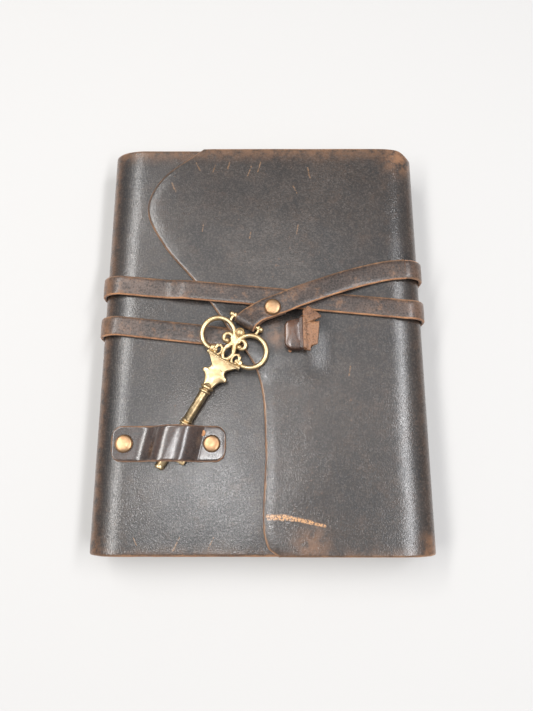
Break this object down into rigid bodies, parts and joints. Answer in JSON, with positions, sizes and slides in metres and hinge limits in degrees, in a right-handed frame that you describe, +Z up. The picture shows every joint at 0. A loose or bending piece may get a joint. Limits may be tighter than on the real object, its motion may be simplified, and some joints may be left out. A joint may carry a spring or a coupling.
{
  "type": "leather notebook cover",
  "caption": "Wrap-around leather notebook cover: a flap folds over the front and a strap wraps the book and ends in a key that slides into a riveted leather holder.",
  "frame": {"origin": "centre of the closed book's box, at the level of the surface it lies on", "axes": "+X towards the fore edge, +Y towards the head, +Z up through the front cover"},
  "size_m": [0.1618, 0.203, 0.0336],
  "materials": {
    "hide": "oiled dark brown-black leather with a grey sheen, fine grain and worn tan edges",
    "strap_leather": "worn dark brown strap leather with raw tan edges",
    "holder_leather": "smooth glossy dark leather with a tan edge",
    "paper": "cream uncoated paper, matt",
    "thread": "waxed linen thread",
    "rivet_brass": "light antique brass cap, satin",
    "brass": "antique cast brass with dark recesses"
  },
  "bodies": {
    "book": {"back_cover": "hide", "spine": "hide", "signature_1": "paper", "signature_2": "paper", "signature_3": "paper", "sewing_thread_1": "thread", "sewing_thread_2": "thread", "sewing_thread_3": "thread", "strap_back_lower": "strap_leather", "strap_back_upper": "strap_leather"},
    "turned_pages": {"signature_4": "paper", "signature_5": "paper", "sewing_thread_4": "thread", "sewing_thread_5": "thread"},
    "front_cover": {"front_cover": "hide", "key_holder": "holder_leather", "holder_rivet_cap_left": "rivet_brass", "holder_rivet_cap_right": "rivet_brass", "holder_rivet_base_left": "rivet_brass", "holder_rivet_base_right": "rivet_brass", "strap_end": "strap_leather"},
    "fore_edge": {"fore_edge": "hide", "strap_turn_lower": "strap_leather", "strap_turn_upper": "strap_leather"},
    "flap": {"flap": "hide", "strap_start": "strap_leather", "strap_middle": "strap_leather", "strap_knot": "strap_leather"},
    "strap_tip": {"strap_key_loop": "strap_leather", "strap_rivet_cap": "rivet_brass", "strap_rivet_base": "rivet_brass"},
    "key": {"key": "brass"}
  },
  "joints": [
    {"name": "flap_open", "type": "hinge", "parent": "fore_edge", "child": "flap", "pos_m": [0.0705, 0, 0.0251], "axis": [0, 1, 0], "range_deg": [0, 150], "deforming": ["flap", "strap_start", "strap_middle", "strap_knot", "strap_turn_lower", "strap_turn_upper", "strap_end"]},
    {"name": "fore_edge_drop", "type": "hinge", "parent": "book", "child": "fore_edge", "pos_m": [0.0705, 0, 0.0017], "axis": [0, 1, 0], "range_deg": [0, 36]},
    {"name": "cover_open", "type": "hinge", "parent": "book", "child": "front_cover", "pos_m": [-0.07867, 0, 0.01728], "axis": [0, -1, 0], "range_deg": [0, 180]},
    {"name": "pages_turn", "type": "hinge", "parent": "book", "child": "turned_pages", "pos_m": [-0.07, 0, 0.0208], "axis": [0, -1, 0], "range_deg": [0, 177]},
    {"name": "key_draw", "type": "slide", "parent": "front_cover", "child": "strap_tip", "axis": [0.5036, 0.8618, 0.0607], "range_m": [0, 0.026], "deforming": ["key_holder", "strap_key_loop"]},
    {"name": "key_swing", "type": "hinge", "parent": "strap_tip", "child": "key", "pos_m": [-0.0075, 0.0048, 0.0301], "axis": [-0.8634, 0.5045, 0], "range_deg": [0, 90]}
  ],
  "couplings": [
    {"joint": "fore_edge_drop", "follows": "flap_open", "ratio": 0.24},
    {"joint": "cover_open", "follows": "flap_open", "ratio": 1.2},
    {"joint": "pages_turn", "follows": "flap_open", "ratio": 1.18}
  ]
}
